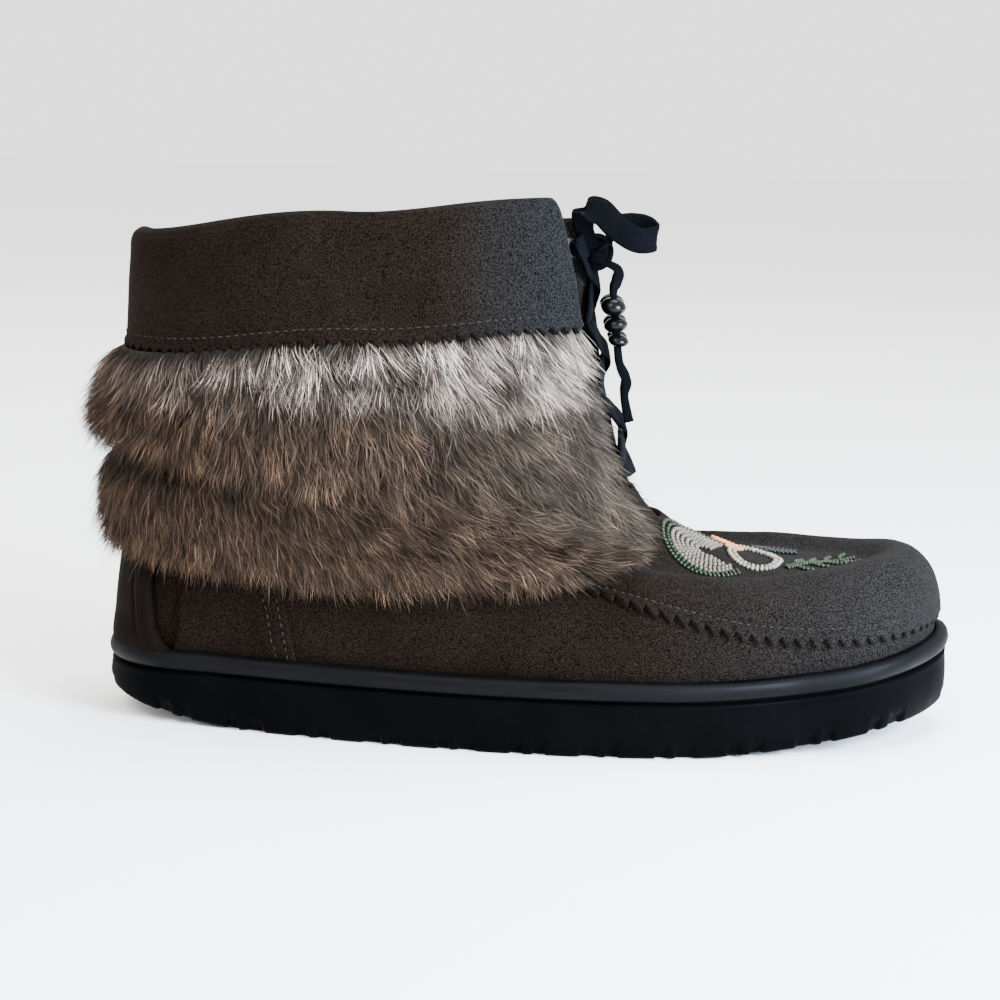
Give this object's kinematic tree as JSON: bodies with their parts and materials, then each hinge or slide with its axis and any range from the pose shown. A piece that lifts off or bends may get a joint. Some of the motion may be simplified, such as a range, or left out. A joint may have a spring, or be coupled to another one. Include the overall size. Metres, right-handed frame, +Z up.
{
  "type": "mukluk boot",
  "caption": "Short winter boot with moccasin toe, fur ankle band, folded suede cuff, ribbon lace and rubber cup sole, right foot.",
  "frame": {"origin": "on the floor under the ankle, at the middle of the flat of the heel", "axes": "+X towards the toe, +Y towards the inner (medial) side, +Z up"},
  "size_m": [0.2901, 0.109, 0.1772],
  "materials": {
    "suede": "napped charcoal suede",
    "fur": "grey-brown rabbit fur",
    "rubber": "black moulded rubber, satin",
    "lining": "matt lining felt",
    "ribbon": "black flat ribbon",
    "bead": "glossy black",
    "eyelet_metal": "dark metal"
  },
  "bodies": {
    "root": {"outsole": "rubber", "insole": "lining", "upper": "suede", "vamp_plug": "suede", "heel_counter_lateral": "suede", "heel_counter_medial": "suede", "tongue": "suede", "fur_band": "fur", "cuff": "suede", "lace_crossings": "ribbon", "lace_knot": "ribbon", "lace_loop_near": "ribbon", "lace_loop_far": "ribbon", "lace_end_near": "ribbon", "lace_end_far": "ribbon", "lace_tail_near": "ribbon", "lace_tail_far": "ribbon", "bead_near_1": "bead", "bead_near_2": "bead", "bead_near_3": "bead", "bead_far_1": "bead", "bead_far_2": "bead", "bead_far_3": "bead", "eyelet_lateral_1": "eyelet_metal", "eyelet_lateral_2": "eyelet_metal", "eyelet_lateral_3": "eyelet_metal", "eyelet_lateral_4": "eyelet_metal", "eyelet_medial_1": "eyelet_metal", "eyelet_medial_2": "eyelet_metal", "eyelet_medial_3": "eyelet_metal", "eyelet_medial_4": "eyelet_metal"}
  },
  "joints": []
}
